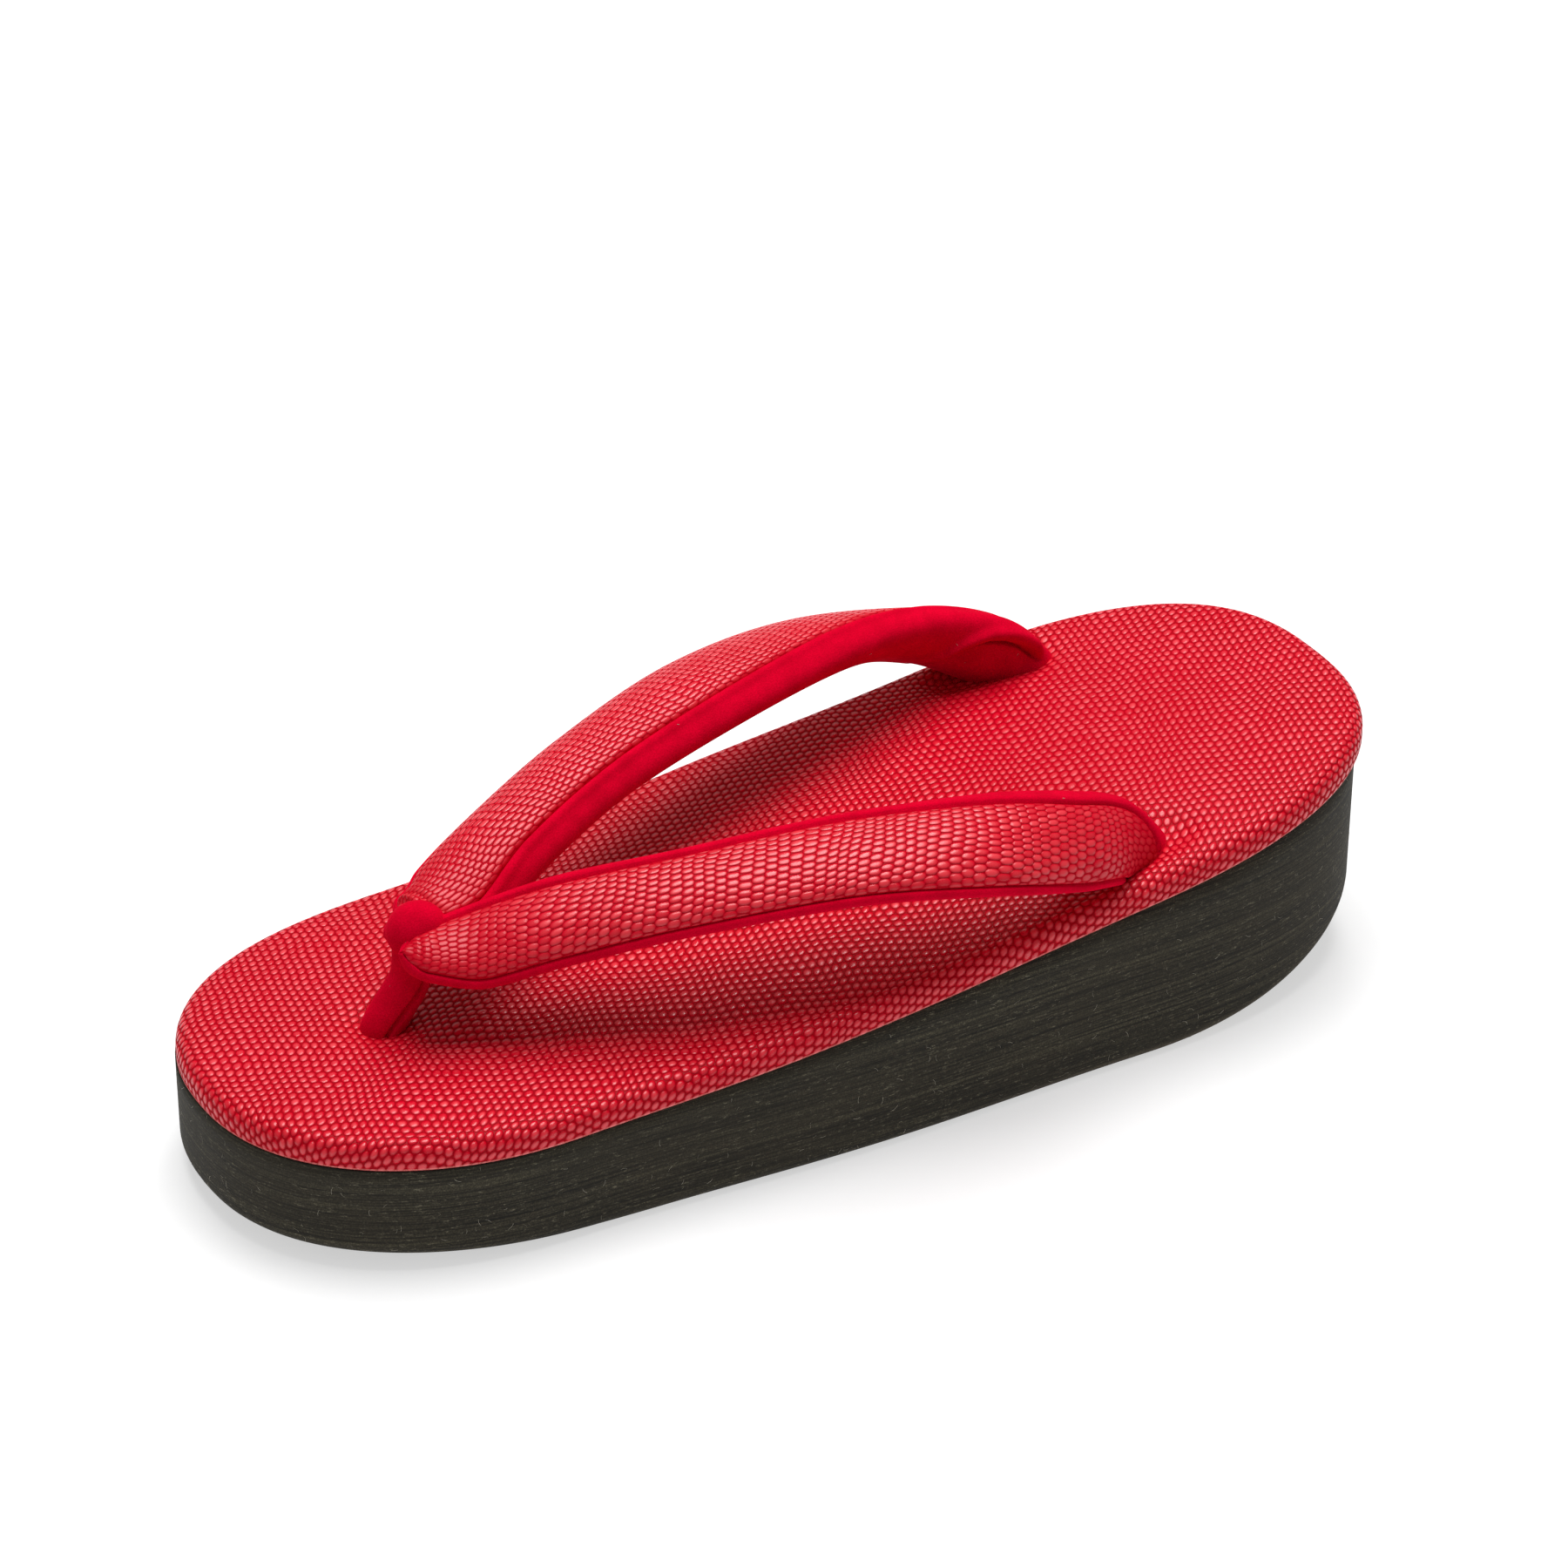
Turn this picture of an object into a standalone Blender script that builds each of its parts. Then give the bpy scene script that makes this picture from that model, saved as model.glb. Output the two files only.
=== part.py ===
"""A zori sandal, modelled in metres with +Z up.

The toe points to -Y and the wearer's left side is +X. The origin is on the floor, under the middle
of the sole. A padded top lies on a wedge sole. A padded V strap has a narrow neck, which the toe loop
holds down, and each of its arms arches back to a slot beside the heel.
"""

import math

import bmesh
import bpy
import numpy as np

# Sole, seen from above
LENGTH = 0.2368
FORE_WIDTH = 0.0848
HEEL_WIDTH = 0.0880
BELLY = 0.0016
TOE_REACH = 0.056
HEEL_REACH = 0.066
TOE_POWER = 2.26
HEEL_POWER = 2.54

# Sole, seen from the side
FORE_HEIGHT = 0.0212
HEEL_HEIGHT = 0.0445
TOE_SPRING = 0.0003
TOE_LIFT = 0.0055
TOE_LIFT_LENGTH = 0.070
HEEL_LIFT = 0.0165
HEEL_LIFT_LENGTH = 0.062
SOLE_EDGE_RADIUS = 0.0030

# Padded top
GAP = 0.0003
PAD_SIDE = 0.0015
PAD_EDGE_RADIUS = 0.0034
PAD_CROWN = 0.0019
TOE_INSET = 0.0002
HEEL_OVERHANG = 0.0012

# Strap
ARMS_FROM_TOE = 0.0436
LEFT_ANCHOR_FROM_HEEL = 0.0536
RIGHT_ANCHOR_FROM_HEEL = 0.0401
STRAP_SPREAD = 0.0390
STRAP_RISE = 0.0283
STRAP_WIDTH = 0.0240
STRAP_THICKNESS = 0.0098
NECK_RADIUS = 0.0021
NECK_LENGTH = 0.0110
NECK_FROM_TOE = 0.0446
INNER_SEAM = 62
OUTER_SEAM = 168
SEAM_ANGLE = 8
FACE_STEP = 0.0002

# Toe loop
LOOP_FROM_TOE = 0.0367
STEM_RADIUS = 0.0049
HEAD_RADIUS = 0.0050
HEAD_WIDTH = 0.0098
HEAD_RISE = 0.0236

# Rise of the rim from the forefoot to the heel, in shares of the length and of the rise
WEDGE = [
    {"along": 0.00, "rise": 0.000},
    {"along": 0.22, "rise": 0.000},
    {"along": 0.35, "rise": 0.085},
    {"along": 0.50, "rise": 0.275},
    {"along": 0.75, "rise": 0.610},
    {"along": 1.00, "rise": 1.000},
]

# One row for each section of an arm, from its tip at the neck to its end in the slot. The columns are
# shares: out of STRAP_SPREAD, back of the run to the anchor, up of STRAP_RISE, width of STRAP_WIDTH
# and thick of STRAP_THICKNESS. A roll is in degrees: at 0 the arm lies flat, at 90 it stands on edge.
ARM = [
    {"out": 0.100, "back": -0.010, "up": 0.735, "left_roll": 8, "right_roll": -8, "width": 0.10, "thick": 0.26},
    {"out": 0.118, "back": 0.014, "up": 0.720, "left_roll": 13, "right_roll": -13, "width": 0.46, "thick": 0.70},
    {"out": 0.180, "back": 0.072, "up": 0.740, "left_roll": 16, "right_roll": -15, "width": 0.76, "thick": 0.96},
    {"out": 0.358, "back": 0.169, "up": 0.895, "left_roll": 19, "right_roll": -4, "width": 0.80, "thick": 1.00},
    {"out": 0.585, "back": 0.313, "up": 0.995, "left_roll": 14, "right_roll": -3, "width": 0.82, "thick": 0.98},
    {"out": 0.805, "back": 0.502, "up": 0.986, "left_roll": 9, "right_roll": 1, "width": 0.95, "thick": 0.99},
    {"out": 0.968, "back": 0.680, "up": 0.845, "left_roll": 17, "right_roll": 15, "width": 0.96, "thick": 1.04},
    {"out": 0.985, "back": 0.815, "up": 0.612, "left_roll": 37, "right_roll": 40, "width": 0.82, "thick": 1.02},
    {"out": 0.880, "back": 0.915, "up": 0.345, "left_roll": 54, "right_roll": 72, "width": 0.64, "thick": 0.94},
    {"out": 0.811, "back": 1.000, "up": 0.110, "left_roll": 73, "right_roll": 90, "width": 0.20, "thick": 0.60},
]

# The toe loop's stem, from the sole up into the head: shares of the way back and of the climb
STEM = [
    {"back": -0.08, "up": 0.00, "radius": 1.00},
    {"back": 0.00, "up": 0.27, "radius": 1.00},
    {"back": 0.45, "up": 0.46, "radius": 1.00},
    {"back": 0.85, "up": 0.72, "radius": 0.88},
    {"back": 1.00, "up": 1.00, "radius": 0.66},
]

# Fineness of the faceted forms
OUTLINE_POINTS = 104
INNER_RINGS = (0.30, 0.60, 0.84, 0.95)
ARM_STEPS = 4
STEM_STEPS = 3
ROUND_POINTS = 20
FACE_POINTS = 10
LINING_POINTS = 18

RED_LEATHER = ("red leather", (0.58, 0.012, 0.030), 0.38)
RED_VELVET = ("red velvet", (0.50, 0.002, 0.022), 0.95)
DARK_FOAM = ("dark foam", (0.024, 0.023, 0.019), 0.85)


def clear_scene():
    for obj in list(bpy.data.objects):
        bpy.data.objects.remove(obj)


def material(finish):
    name, colour, roughness = finish
    made = bpy.data.materials.get(name) or bpy.data.materials.new(name)
    made.use_nodes = True
    shader = made.node_tree.nodes["Principled BSDF"]
    shader.inputs["Base Color"].default_value = (*colour, 1)
    shader.inputs["Roughness"].default_value = roughness
    shader.inputs["Metallic"].default_value = 0
    return made


def column(rows, name):
    return np.array([row[name] for row in rows], float)


def smooth(knots, values, at):
    """A cubic curve through the knots, its slopes taken from each knot's neighbours."""
    slopes = np.gradient(values, knots)
    index = np.clip(np.searchsorted(knots, at, side="right") - 1, 0, len(knots) - 2)
    span = knots[index + 1] - knots[index]
    t = (at - knots[index]) / span
    start = (1 + 2 * t) * (1 - t) ** 2 * values[index] + t * (1 - t) ** 2 * span * slopes[index]
    end = t * t * (3 - 2 * t) * values[index + 1] + t * t * (t - 1) * span * slopes[index + 1]
    return start + end


def table_at(rows, steps):
    """Every column of a table, read at its rows and at even steps between them."""
    knots = np.arange(len(rows), dtype=float)
    at = np.linspace(0, len(rows) - 1, (len(rows) - 1) * steps + 1)
    return {name: smooth(knots, column(rows, name), at) for name in rows[0]}


def half_width(from_toe):
    """Half the sole's width at a distance from the toe: a long oval, a little fuller at the heel."""
    straight = np.clip((from_toe - TOE_REACH) / (LENGTH - TOE_REACH - HEEL_REACH), 0, 1)
    blend = straight**2 * (3 - 2 * straight)
    width = (FORE_WIDTH + (HEEL_WIDTH - FORE_WIDTH) * blend) / 2
    width = width + BELLY * np.sin(math.pi * straight) ** 2
    toe = np.clip(1 - from_toe / TOE_REACH, 0, 1)
    heel = np.clip(1 - (LENGTH - from_toe) / HEEL_REACH, 0, 1)
    toe_share = (1 - toe**TOE_POWER) ** (1 / TOE_POWER)
    heel_share = (1 - heel**HEEL_POWER) ** (1 / HEEL_POWER)
    return width * toe_share * heel_share


def outline():
    """Evenly spaced points of the sole's outline and their outward directions, from the toe."""
    turn = np.linspace(0, math.pi, 800)
    from_toe = LENGTH / 2 * (1 - np.cos(turn))
    x = np.concatenate([half_width(from_toe), -half_width(from_toe)[-2::-1]])
    y = np.concatenate([from_toe, from_toe[-2::-1]]) - LENGTH / 2
    run = np.concatenate([[0], np.cumsum(np.hypot(np.diff(x), np.diff(y)))])
    even = np.linspace(0, run[-1], OUTLINE_POINTS + 1)[:-1]
    points = np.stack([np.interp(even, run, x), np.interp(even, run, y)], 1)
    along = np.roll(points, -1, 0) - np.roll(points, 1, 0)
    along /= np.linalg.norm(along, axis=1, keepdims=True)
    return points, np.stack([along[:, 1], -along[:, 0]], 1)


def rim_height(y):
    """Height of the sole's upper face."""
    from_toe = np.clip(y + LENGTH / 2, 0, LENGTH)
    rise = smooth(column(WEDGE, "along") * LENGTH, column(WEDGE, "rise"), from_toe)
    spring = np.clip(1 - from_toe / TOE_LIFT_LENGTH, 0, 1) ** 2 * TOE_SPRING
    return FORE_HEIGHT + rise * (HEEL_HEIGHT - FORE_HEIGHT) + spring


def underside_height(y):
    """Height of the sole's underside: flat on the floor between the toe's lift and the heel's."""
    from_toe = np.clip(y + LENGTH / 2, 0, LENGTH)
    to_toe = np.clip(from_toe / TOE_LIFT_LENGTH, 0, 1)
    to_heel = np.clip((LENGTH - from_toe) / HEEL_LIFT_LENGTH, 0, 1)
    return TOE_LIFT * (1 - to_toe**2) ** 2 + HEEL_LIFT * (1 - to_heel) ** 2


def linked(name, body, finish):
    bmesh.ops.recalc_face_normals(body, faces=body.faces)
    mesh = bpy.data.meshes.new(name)
    body.to_mesh(mesh)
    body.free()
    mesh.shade_smooth()
    mesh.materials.append(material(finish))
    obj = bpy.data.objects.new(name, mesh)
    bpy.context.collection.objects.link(obj)
    return obj


def skinned(name, rings, finish):
    """One closed body over rings of equal count, each end closed to its centre."""
    body = bmesh.new()
    loops = [[body.verts.new(point) for point in ring] for ring in rings]
    for lower, upper in zip(loops, loops[1:]):
        for a in range(len(lower)):
            b = (a + 1) % len(lower)
            body.faces.new((lower[a], lower[b], upper[b], upper[a]))
    for ring, loop in ((rings[0], loops[0]), (rings[-1], loops[-1])):
        centre = body.verts.new(np.mean(ring, axis=0))
        for a in range(len(loop)):
            body.faces.new((loop[a], loop[(a + 1) % len(loop)], centre))
    return linked(name, body, finish)


def combine(obj, helper, operation):
    """Cuts or joins with a helper that isn't itself a piece of the sandal."""
    helper.hide_render = True
    helper.display_type = "WIRE"
    modifier = obj.modifiers.new(helper.name, "BOOLEAN")
    modifier.operation = operation
    modifier.object = helper


def ring_at(inset, height):
    """The outline moved inwards, each point at the height for its place."""
    points, outward = outline()
    moved = points - outward * np.reshape(inset, (-1, 1))
    return np.column_stack([moved, height(moved[:, 1])])


def ring_within(ring, share, height):
    """The ring drawn in towards the middle of the sandal."""
    moved = ring[:, :2] * share
    return np.column_stack([moved, height(moved[:, 1])])


def make_sole():
    floor = ring_at(SOLE_EDGE_RADIUS, underside_height)
    rings = [ring_within(floor, share, underside_height) for share in INNER_RINGS]
    for angle in np.radians((0, 30, 60, 90)):
        inset = SOLE_EDGE_RADIUS * (1 - math.sin(angle))
        lift = SOLE_EDGE_RADIUS * (1 - math.cos(angle))
        rings.append(ring_at(inset, lambda y, lift=lift: underside_height(y) + lift))
    top = ring_at(0, rim_height)
    rings.append(top)
    rings += [ring_within(top, share, rim_height) for share in reversed(INNER_RINGS)]
    return skinned("sole", rings, DARK_FOAM)


def pad_height(rise):
    return lambda y: rim_height(y) + GAP + rise


def make_padded_top(openings):
    """The pad over the sole: a low side, a rounded edge and a slight crown, with its openings cut."""
    points, _ = outline()
    side = TOE_INSET - (TOE_INSET + HEEL_OVERHANG) * (points[:, 1] / LENGTH + 0.5)
    base = ring_at(side, pad_height(0))
    rings = [ring_within(base, share, pad_height(0)) for share in INNER_RINGS]
    rings += [base, ring_at(side, pad_height(PAD_SIDE))]
    for angle in np.radians((22, 44, 66, 88)):
        inset = side + PAD_EDGE_RADIUS * (1 - math.cos(angle))
        rings.append(ring_at(inset, pad_height(PAD_SIDE + PAD_EDGE_RADIUS * math.sin(angle))))
    shoulder = rings[-1]
    for share in reversed(INNER_RINGS):
        rise = PAD_SIDE + PAD_EDGE_RADIUS + PAD_CROWN * (1 - share**2)
        rings.append(ring_within(shoulder, share, pad_height(rise)))
    pad = skinned("padded_top", rings, RED_LEATHER)
    for opening in openings:
        combine(pad, opening, "DIFFERENCE")


def arm_sections(side):
    """The centre and direction of each section of an arm, with its two axes and their half sizes."""
    table = table_at(ARM, ARM_STEPS)
    tip = ARMS_FROM_TOE - LENGTH / 2
    anchor = LENGTH / 2 - (LEFT_ANCHOR_FROM_HEEL if side > 0 else RIGHT_ANCHOR_FROM_HEEL)
    y = tip + (anchor - tip) * table["back"]
    centre = np.stack([side * STRAP_SPREAD * table["out"], y, rim_height(y) + STRAP_RISE * table["up"]], 1)
    along = np.gradient(centre, axis=0)
    along /= np.linalg.norm(along, axis=1, keepdims=True)
    upward = np.array([0, 0, 1]) - along[:, 2:] * along
    upward /= np.linalg.norm(upward, axis=1, keepdims=True)
    outward = side * np.cross(along, upward)
    roll = np.radians(table["left_roll" if side > 0 else "right_roll"])[:, None]
    inner = (np.sin(roll) * upward - np.cos(roll) * outward, STRAP_WIDTH / 2 * table["width"][:, None])
    face = (np.cos(roll) * upward + np.sin(roll) * outward, STRAP_THICKNESS / 2 * table["thick"][:, None])
    return centre, along, inner, face


def swept_arm(name, side, turn, finish, grow=0.0, first=0, chord_sink=None):
    """An arm whose section is the strap's oval between the given angles.

    Where the angles leave some of the oval out, a chord closes it, sunk in its middle.
    """
    centre, along, (inner, half_wide), (face, half_thick) = arm_sections(side)
    centre[first] -= grow * along[first]
    centre[-1] += grow * along[-1]
    turn = np.radians(turn)[None, :, None]
    reach = np.cos(turn) * ((half_wide + grow) * inner)[:, None]
    reach = reach + np.sin(turn) * ((half_thick + grow) * face)[:, None]
    rings = centre[:, None] + reach
    if chord_sink is not None:
        middle = (rings[:, 0] + rings[:, -1]) / 2 - chord_sink * face
        rings = np.concatenate([rings, middle[:, None]], 1)
    rings[..., 0] = side * np.maximum(side * rings[..., 0], GAP / 2 - grow)
    rings[..., 2] = np.maximum(rings[..., 2], rim_height(rings[..., 1]) + 2 * GAP - grow)
    return skinned(name, rings[first:], finish)


def neck_tube(name, grow=0.0):
    """The strap's narrow middle, which runs across the sandal from one arm's tip to the other's."""
    body = bmesh.new()
    bmesh.ops.create_cone(
        body,
        cap_ends=True,
        segments=ROUND_POINTS,
        radius1=NECK_RADIUS + grow,
        radius2=NECK_RADIUS + grow,
        depth=NECK_LENGTH + 2 * grow,
    )
    tube = linked(name, body, RED_VELVET)
    tube.rotation_euler = (0, math.pi / 2, 0)
    y = NECK_FROM_TOE - LENGTH / 2
    tube.location = (0, y, rim_height(y) + STRAP_RISE * ARM[0]["up"] + NECK_RADIUS / 2)
    return tube


def make_strap():
    """The velvet lining as one V, and the leather face of each arm lying in it."""
    lining_turn = np.linspace(OUTER_SEAM, INNER_SEAM + 360, LINING_POINTS)
    face_turn = np.linspace(INNER_SEAM + SEAM_ANGLE, OUTER_SEAM - SEAM_ANGLE, FACE_POINTS)
    lining = swept_arm("strap_lining", 1, lining_turn, RED_VELVET, chord_sink=GAP)
    right_arm = swept_arm("lining_right_arm", -1, lining_turn, RED_VELVET, chord_sink=GAP)
    combine(lining, right_arm, "UNION")
    combine(lining, neck_tube("lining_neck"), "UNION")
    neck_room = neck_tube("neck_room", GAP)
    for side, word in ((1, "left"), (-1, "right")):
        face = swept_arm(f"strap_face_{word}", side, face_turn, RED_LEATHER, -FACE_STEP, 2, 0)
        combine(face, neck_room, "DIFFERENCE")
    return neck_room


def stem_rings(grow=0.0):
    """Rings of the toe loop's stem, level at the sole and turning with the lean above it."""
    table = table_at(STEM, STEM_STEPS)
    start = LOOP_FROM_TOE - LENGTH / 2
    end = ARMS_FROM_TOE - LENGTH / 2
    foot = rim_height(start) + 2 * GAP - 2 * grow
    head = rim_height(end) + HEAD_RISE
    y = start + (end - start) * table["back"]
    z = foot + (head - foot) * table["up"]
    lean = np.arctan2(np.gradient(y), np.gradient(z))
    lean[0] = 0
    turn = np.linspace(0, 2 * math.pi, ROUND_POINTS, endpoint=False)
    rings = []
    for place_y, place_z, tilt, radius in zip(y, z, lean, STEM_RADIUS * table["radius"] + grow):
        across = radius * np.sin(turn)
        rings.append(
            np.column_stack(
                [radius * np.cos(turn), place_y + across * math.cos(tilt), place_z - across * math.sin(tilt)]
            )
        )
    return rings


def make_toe_loop(rooms):
    """The velvet tube with its head, hollowed where the strap's neck and tips pass through it."""
    stem = skinned("toe_loop", stem_rings(), RED_VELVET)
    body = bmesh.new()
    bmesh.ops.create_uvsphere(body, u_segments=ROUND_POINTS, v_segments=ROUND_POINTS // 2, radius=HEAD_RADIUS)
    bmesh.ops.scale(body, vec=(HEAD_WIDTH / 2 / HEAD_RADIUS, 1, 1), verts=body.verts)
    head = linked("loop_head", body, RED_VELVET)
    y = ARMS_FROM_TOE - LENGTH / 2
    head.location = (0, y, rim_height(y) + HEAD_RISE)
    combine(stem, head, "UNION")
    for room in rooms:
        combine(stem, room, "DIFFERENCE")


def main():
    clear_scene()
    make_sole()
    neck_room = make_strap()
    full_turn = np.linspace(0, 360, 2 * ROUND_POINTS, endpoint=False)
    arm_rooms = [
        swept_arm(f"{word}_arm_room", side, full_turn, RED_VELVET, GAP)
        for side, word in ((1, "left"), (-1, "right"))
    ]
    make_toe_loop([neck_room, *arm_rooms])
    stem_room = skinned("stem_room", stem_rings(GAP), RED_VELVET)
    make_padded_top([stem_room, *arm_rooms])


main()
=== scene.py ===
"""The looks of the zori sandal: embossed red leather-cloth, crimson velvet and a dark foam sole.

Lengths are in metres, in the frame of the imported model: the toe points to -Y, the wearer's left is +X
and the floor is at zero. Each piece is a finer form of the node that it stands for.
"""

import math

import bpy
import numpy as np
from mathutils import Matrix, Vector


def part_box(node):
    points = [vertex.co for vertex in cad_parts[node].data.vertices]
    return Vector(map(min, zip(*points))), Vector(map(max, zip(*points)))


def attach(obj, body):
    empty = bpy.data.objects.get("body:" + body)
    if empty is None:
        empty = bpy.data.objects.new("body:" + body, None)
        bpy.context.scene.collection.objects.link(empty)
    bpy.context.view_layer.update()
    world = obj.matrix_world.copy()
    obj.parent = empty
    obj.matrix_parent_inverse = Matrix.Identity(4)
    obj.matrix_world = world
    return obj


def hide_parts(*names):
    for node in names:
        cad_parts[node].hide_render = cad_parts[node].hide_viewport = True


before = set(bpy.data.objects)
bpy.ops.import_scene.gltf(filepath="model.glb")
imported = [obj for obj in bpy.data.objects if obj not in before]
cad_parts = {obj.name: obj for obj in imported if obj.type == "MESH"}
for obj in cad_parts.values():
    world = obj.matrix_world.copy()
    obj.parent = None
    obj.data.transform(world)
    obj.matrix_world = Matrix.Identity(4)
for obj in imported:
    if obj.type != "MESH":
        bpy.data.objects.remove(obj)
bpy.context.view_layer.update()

MM = 0.001

# Outline and height of the sole
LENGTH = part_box("sole")[1].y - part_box("sole")[0].y
FORE_WIDTH = 84.8 * MM
HEEL_WIDTH = 88.0 * MM
BELLY = 1.6 * MM
TOE_REACH = 56 * MM
HEEL_REACH = 66 * MM
TOE_POWER = 2.26
HEEL_POWER = 2.54
FORE_HEIGHT = 21.2 * MM
HEEL_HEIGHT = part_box("sole")[1].z
TOE_SPRING = 0.3 * MM
TOE_LIFT = 3.0 * MM
TOE_LIFT_LENGTH = 70 * MM
HEEL_LIFT = 13.8 * MM
HEEL_LIFT_LENGTH = 62 * MM
SOLE_EDGE_RADIUS = 3.0 * MM
TREAD_SHARE = 0.85
WORN_FROM_MIDDLE = 60 * MM

# Padded top
GAP = 0.3 * MM
PAD_SIDE = 1.5 * MM
PAD_EDGE_RADIUS = 3.4 * MM
PAD_CROWN = 1.9 * MM
TOE_INSET = 0.2 * MM
HEEL_OVERHANG = 1.2 * MM

# Where the heel has rubbed the pad's cells flatter, and by how much
WORN_HEEL = {"middle": (0, 70 * MM), "reach": 34 * MM, "less": 0.4}

# Strap
ARMS_FROM_TOE = 43.6 * MM
ANCHOR_FROM_HEEL = {1: 53.6 * MM, -1: 40.1 * MM}
STRAP_SPREAD = 39.0 * MM
STRAP_RISE = 28.3 * MM
STRAP_WIDTH = 24.0 * MM
STRAP_THICKNESS = 9.8 * MM
INNER_SEAM = 57
OUTER_SEAM = 168
NECK = {"reach": 5.5 * MM, "half": 2.6 * MM, "ahead": 1.5 * MM, "below": 2.5 * MM}

# Leather on the strap: its ends are places in ARM, and its edges turn down into the seams
LEATHER_START = 0.06
LEATHER_END = 8.66
LEATHER_OPENING = 0.26
LEATHER_ROUND = 0.80
LEATHER_SINK = 1.15 * MM
LEATHER_OVER = 0.14 * MM
LEATHER_UNDER = 1.05 * MM
LEATHER_EDGE = 1.0 * MM
LEATHER_EDGE_WIDTH = 1.1 * MM

# Velvet of the strap: the piping beside each seam, and the half width from which it has its full size
SEAM_SOFTNESS = 0.4 * MM
PIPING_RISE = 0.55 * MM
PIPING_WIDTH = 1.0 * MM
PIPING_FROM_SEAM = 1.15 * MM
FULL_HALF_WIDTH = 5 * MM
TIP_SHRINK = 0.8 * MM
TIP_LENGTH = 0.6

# Toe loop
CAP_FROM_TOE = 44.1 * MM
CAP_HEIGHT = 44.3 * MM
CAP_HALF = {"x": 5.1 * MM, "y": 5.7 * MM, "z": 5.5 * MM}
LOOP_SEAM = {"bottom": 13, "top": -12, "from": 26 * MM, "rise": 10 * MM, "to": 38 * MM, "fade": 2 * MM}
LOOP_GROOVE = {"deep": 1.2 * MM, "width": 0.40 * MM}
LOOP_FOLD = {"high": 0.25 * MM, "width": 1.0 * MM, "away": 1.3 * MM}

WEDGE = [
    {"along": 0.00, "rise": 0.000},
    {"along": 0.22, "rise": 0.000},
    {"along": 0.35, "rise": 0.085},
    {"along": 0.50, "rise": 0.275},
    {"along": 0.75, "rise": 0.610},
    {"along": 1.00, "rise": 1.000},
]

# Sections of an arm of the strap from its tip to its slot, in shares of the sizes above
ARM = [
    {"out": 0.135, "left_back": -0.040, "right_back": -0.006, "up": 0.820, "left_roll": 8, "right_roll": -8,
     "width": 0.08, "thick": 0.22},
    {"out": 0.145, "left_back": -0.012, "right_back": 0.016, "up": 0.768, "left_roll": 13, "right_roll": -13,
     "width": 0.46, "thick": 0.70},
    {"out": 0.186, "left_back": 0.062, "right_back": 0.072, "up": 0.745, "left_roll": 16, "right_roll": -15,
     "width": 0.76, "thick": 0.96},
    {"out": 0.358, "left_back": 0.169, "right_back": 0.169, "up": 0.895, "left_roll": 19, "right_roll": -4,
     "width": 0.80, "thick": 1.00},
    {"out": 0.585, "left_back": 0.313, "right_back": 0.313, "up": 0.995, "left_roll": 14, "right_roll": -3,
     "width": 0.82, "thick": 0.98},
    {"out": 0.805, "left_back": 0.502, "right_back": 0.502, "up": 0.986, "left_roll": 9, "right_roll": 1,
     "width": 0.95, "thick": 0.99},
    {"out": 0.968, "left_back": 0.680, "right_back": 0.680, "up": 0.845, "left_roll": 17, "right_roll": 15,
     "width": 0.96, "thick": 1.04},
    {"out": 0.985, "left_back": 0.815, "right_back": 0.815, "up": 0.612, "left_roll": 37, "right_roll": 40,
     "width": 0.82, "thick": 1.02},
    {"out": 0.880, "left_back": 0.907, "right_back": 0.915, "up": 0.345, "left_roll": 54, "right_roll": 72,
     "width": 0.69, "thick": 0.96},
    {"out": 0.825, "left_back": 0.973, "right_back": 0.984, "up": 0.010, "left_roll": 70, "right_roll": 88,
     "width": 0.46, "thick": 0.84},
]

# The loop's path out of its hole, over the strap's neck
LOOP = [
    {"from_toe": 35.9 * MM, "height": 21.8 * MM, "half": 3.95 * MM},
    {"from_toe": 36.6 * MM, "height": 26.0 * MM, "half": 3.95 * MM},
    {"from_toe": 39.6 * MM, "height": 30.4 * MM, "half": 3.90 * MM},
    {"from_toe": 42.4 * MM, "height": 34.6 * MM, "half": 3.85 * MM},
    {"from_toe": 43.2 * MM, "height": 38.5 * MM, "half": 3.90 * MM},
    {"from_toe": 43.3 * MM, "height": 44.0 * MM, "half": 3.90 * MM},
]

# Where the velvet folds in under each arm's rear end: the place in the arm's table and the angle
FOLD = [
    {"at": 7.10, "turn": -112},
    {"at": 7.32, "turn": -86},
    {"at": 7.55, "turn": -64},
    {"at": 7.82, "turn": -50},
    {"at": 8.25, "turn": -44},
    {"at": 8.72, "turn": -47},
]

# The velvet's fold: a groove, a roll on one side of it and a hollow on the other, as shares of its depth
FOLD_DEPTH = 2.8 * MM
FOLD_EASE = {"start": 0.3, "end": 0.2}
FOLD_GROOVE = 0.45 * MM
FOLD_ROLL = {"share": 0.45, "away": 1.9 * MM, "width": 1.3 * MM}
FOLD_HOLLOW = {"share": 0.75, "long": 3.5 * MM, "start": 0.8 * MM}

# Creases across the leather in front: places in ARM, widths and depths, less than nothing for a ridge
CREASES = [
    {"at": 0.80, "width": 0.10, "deep": 1.0},
    {"at": 1.25, "width": 0.13, "deep": 0.7},
    {"at": 1.02, "width": 0.12, "deep": -0.45},
]
CREASE_DEPTH = {1: 0.25 * MM, -1: 0.75 * MM}
CREASE_SLANT = 0.5

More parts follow.
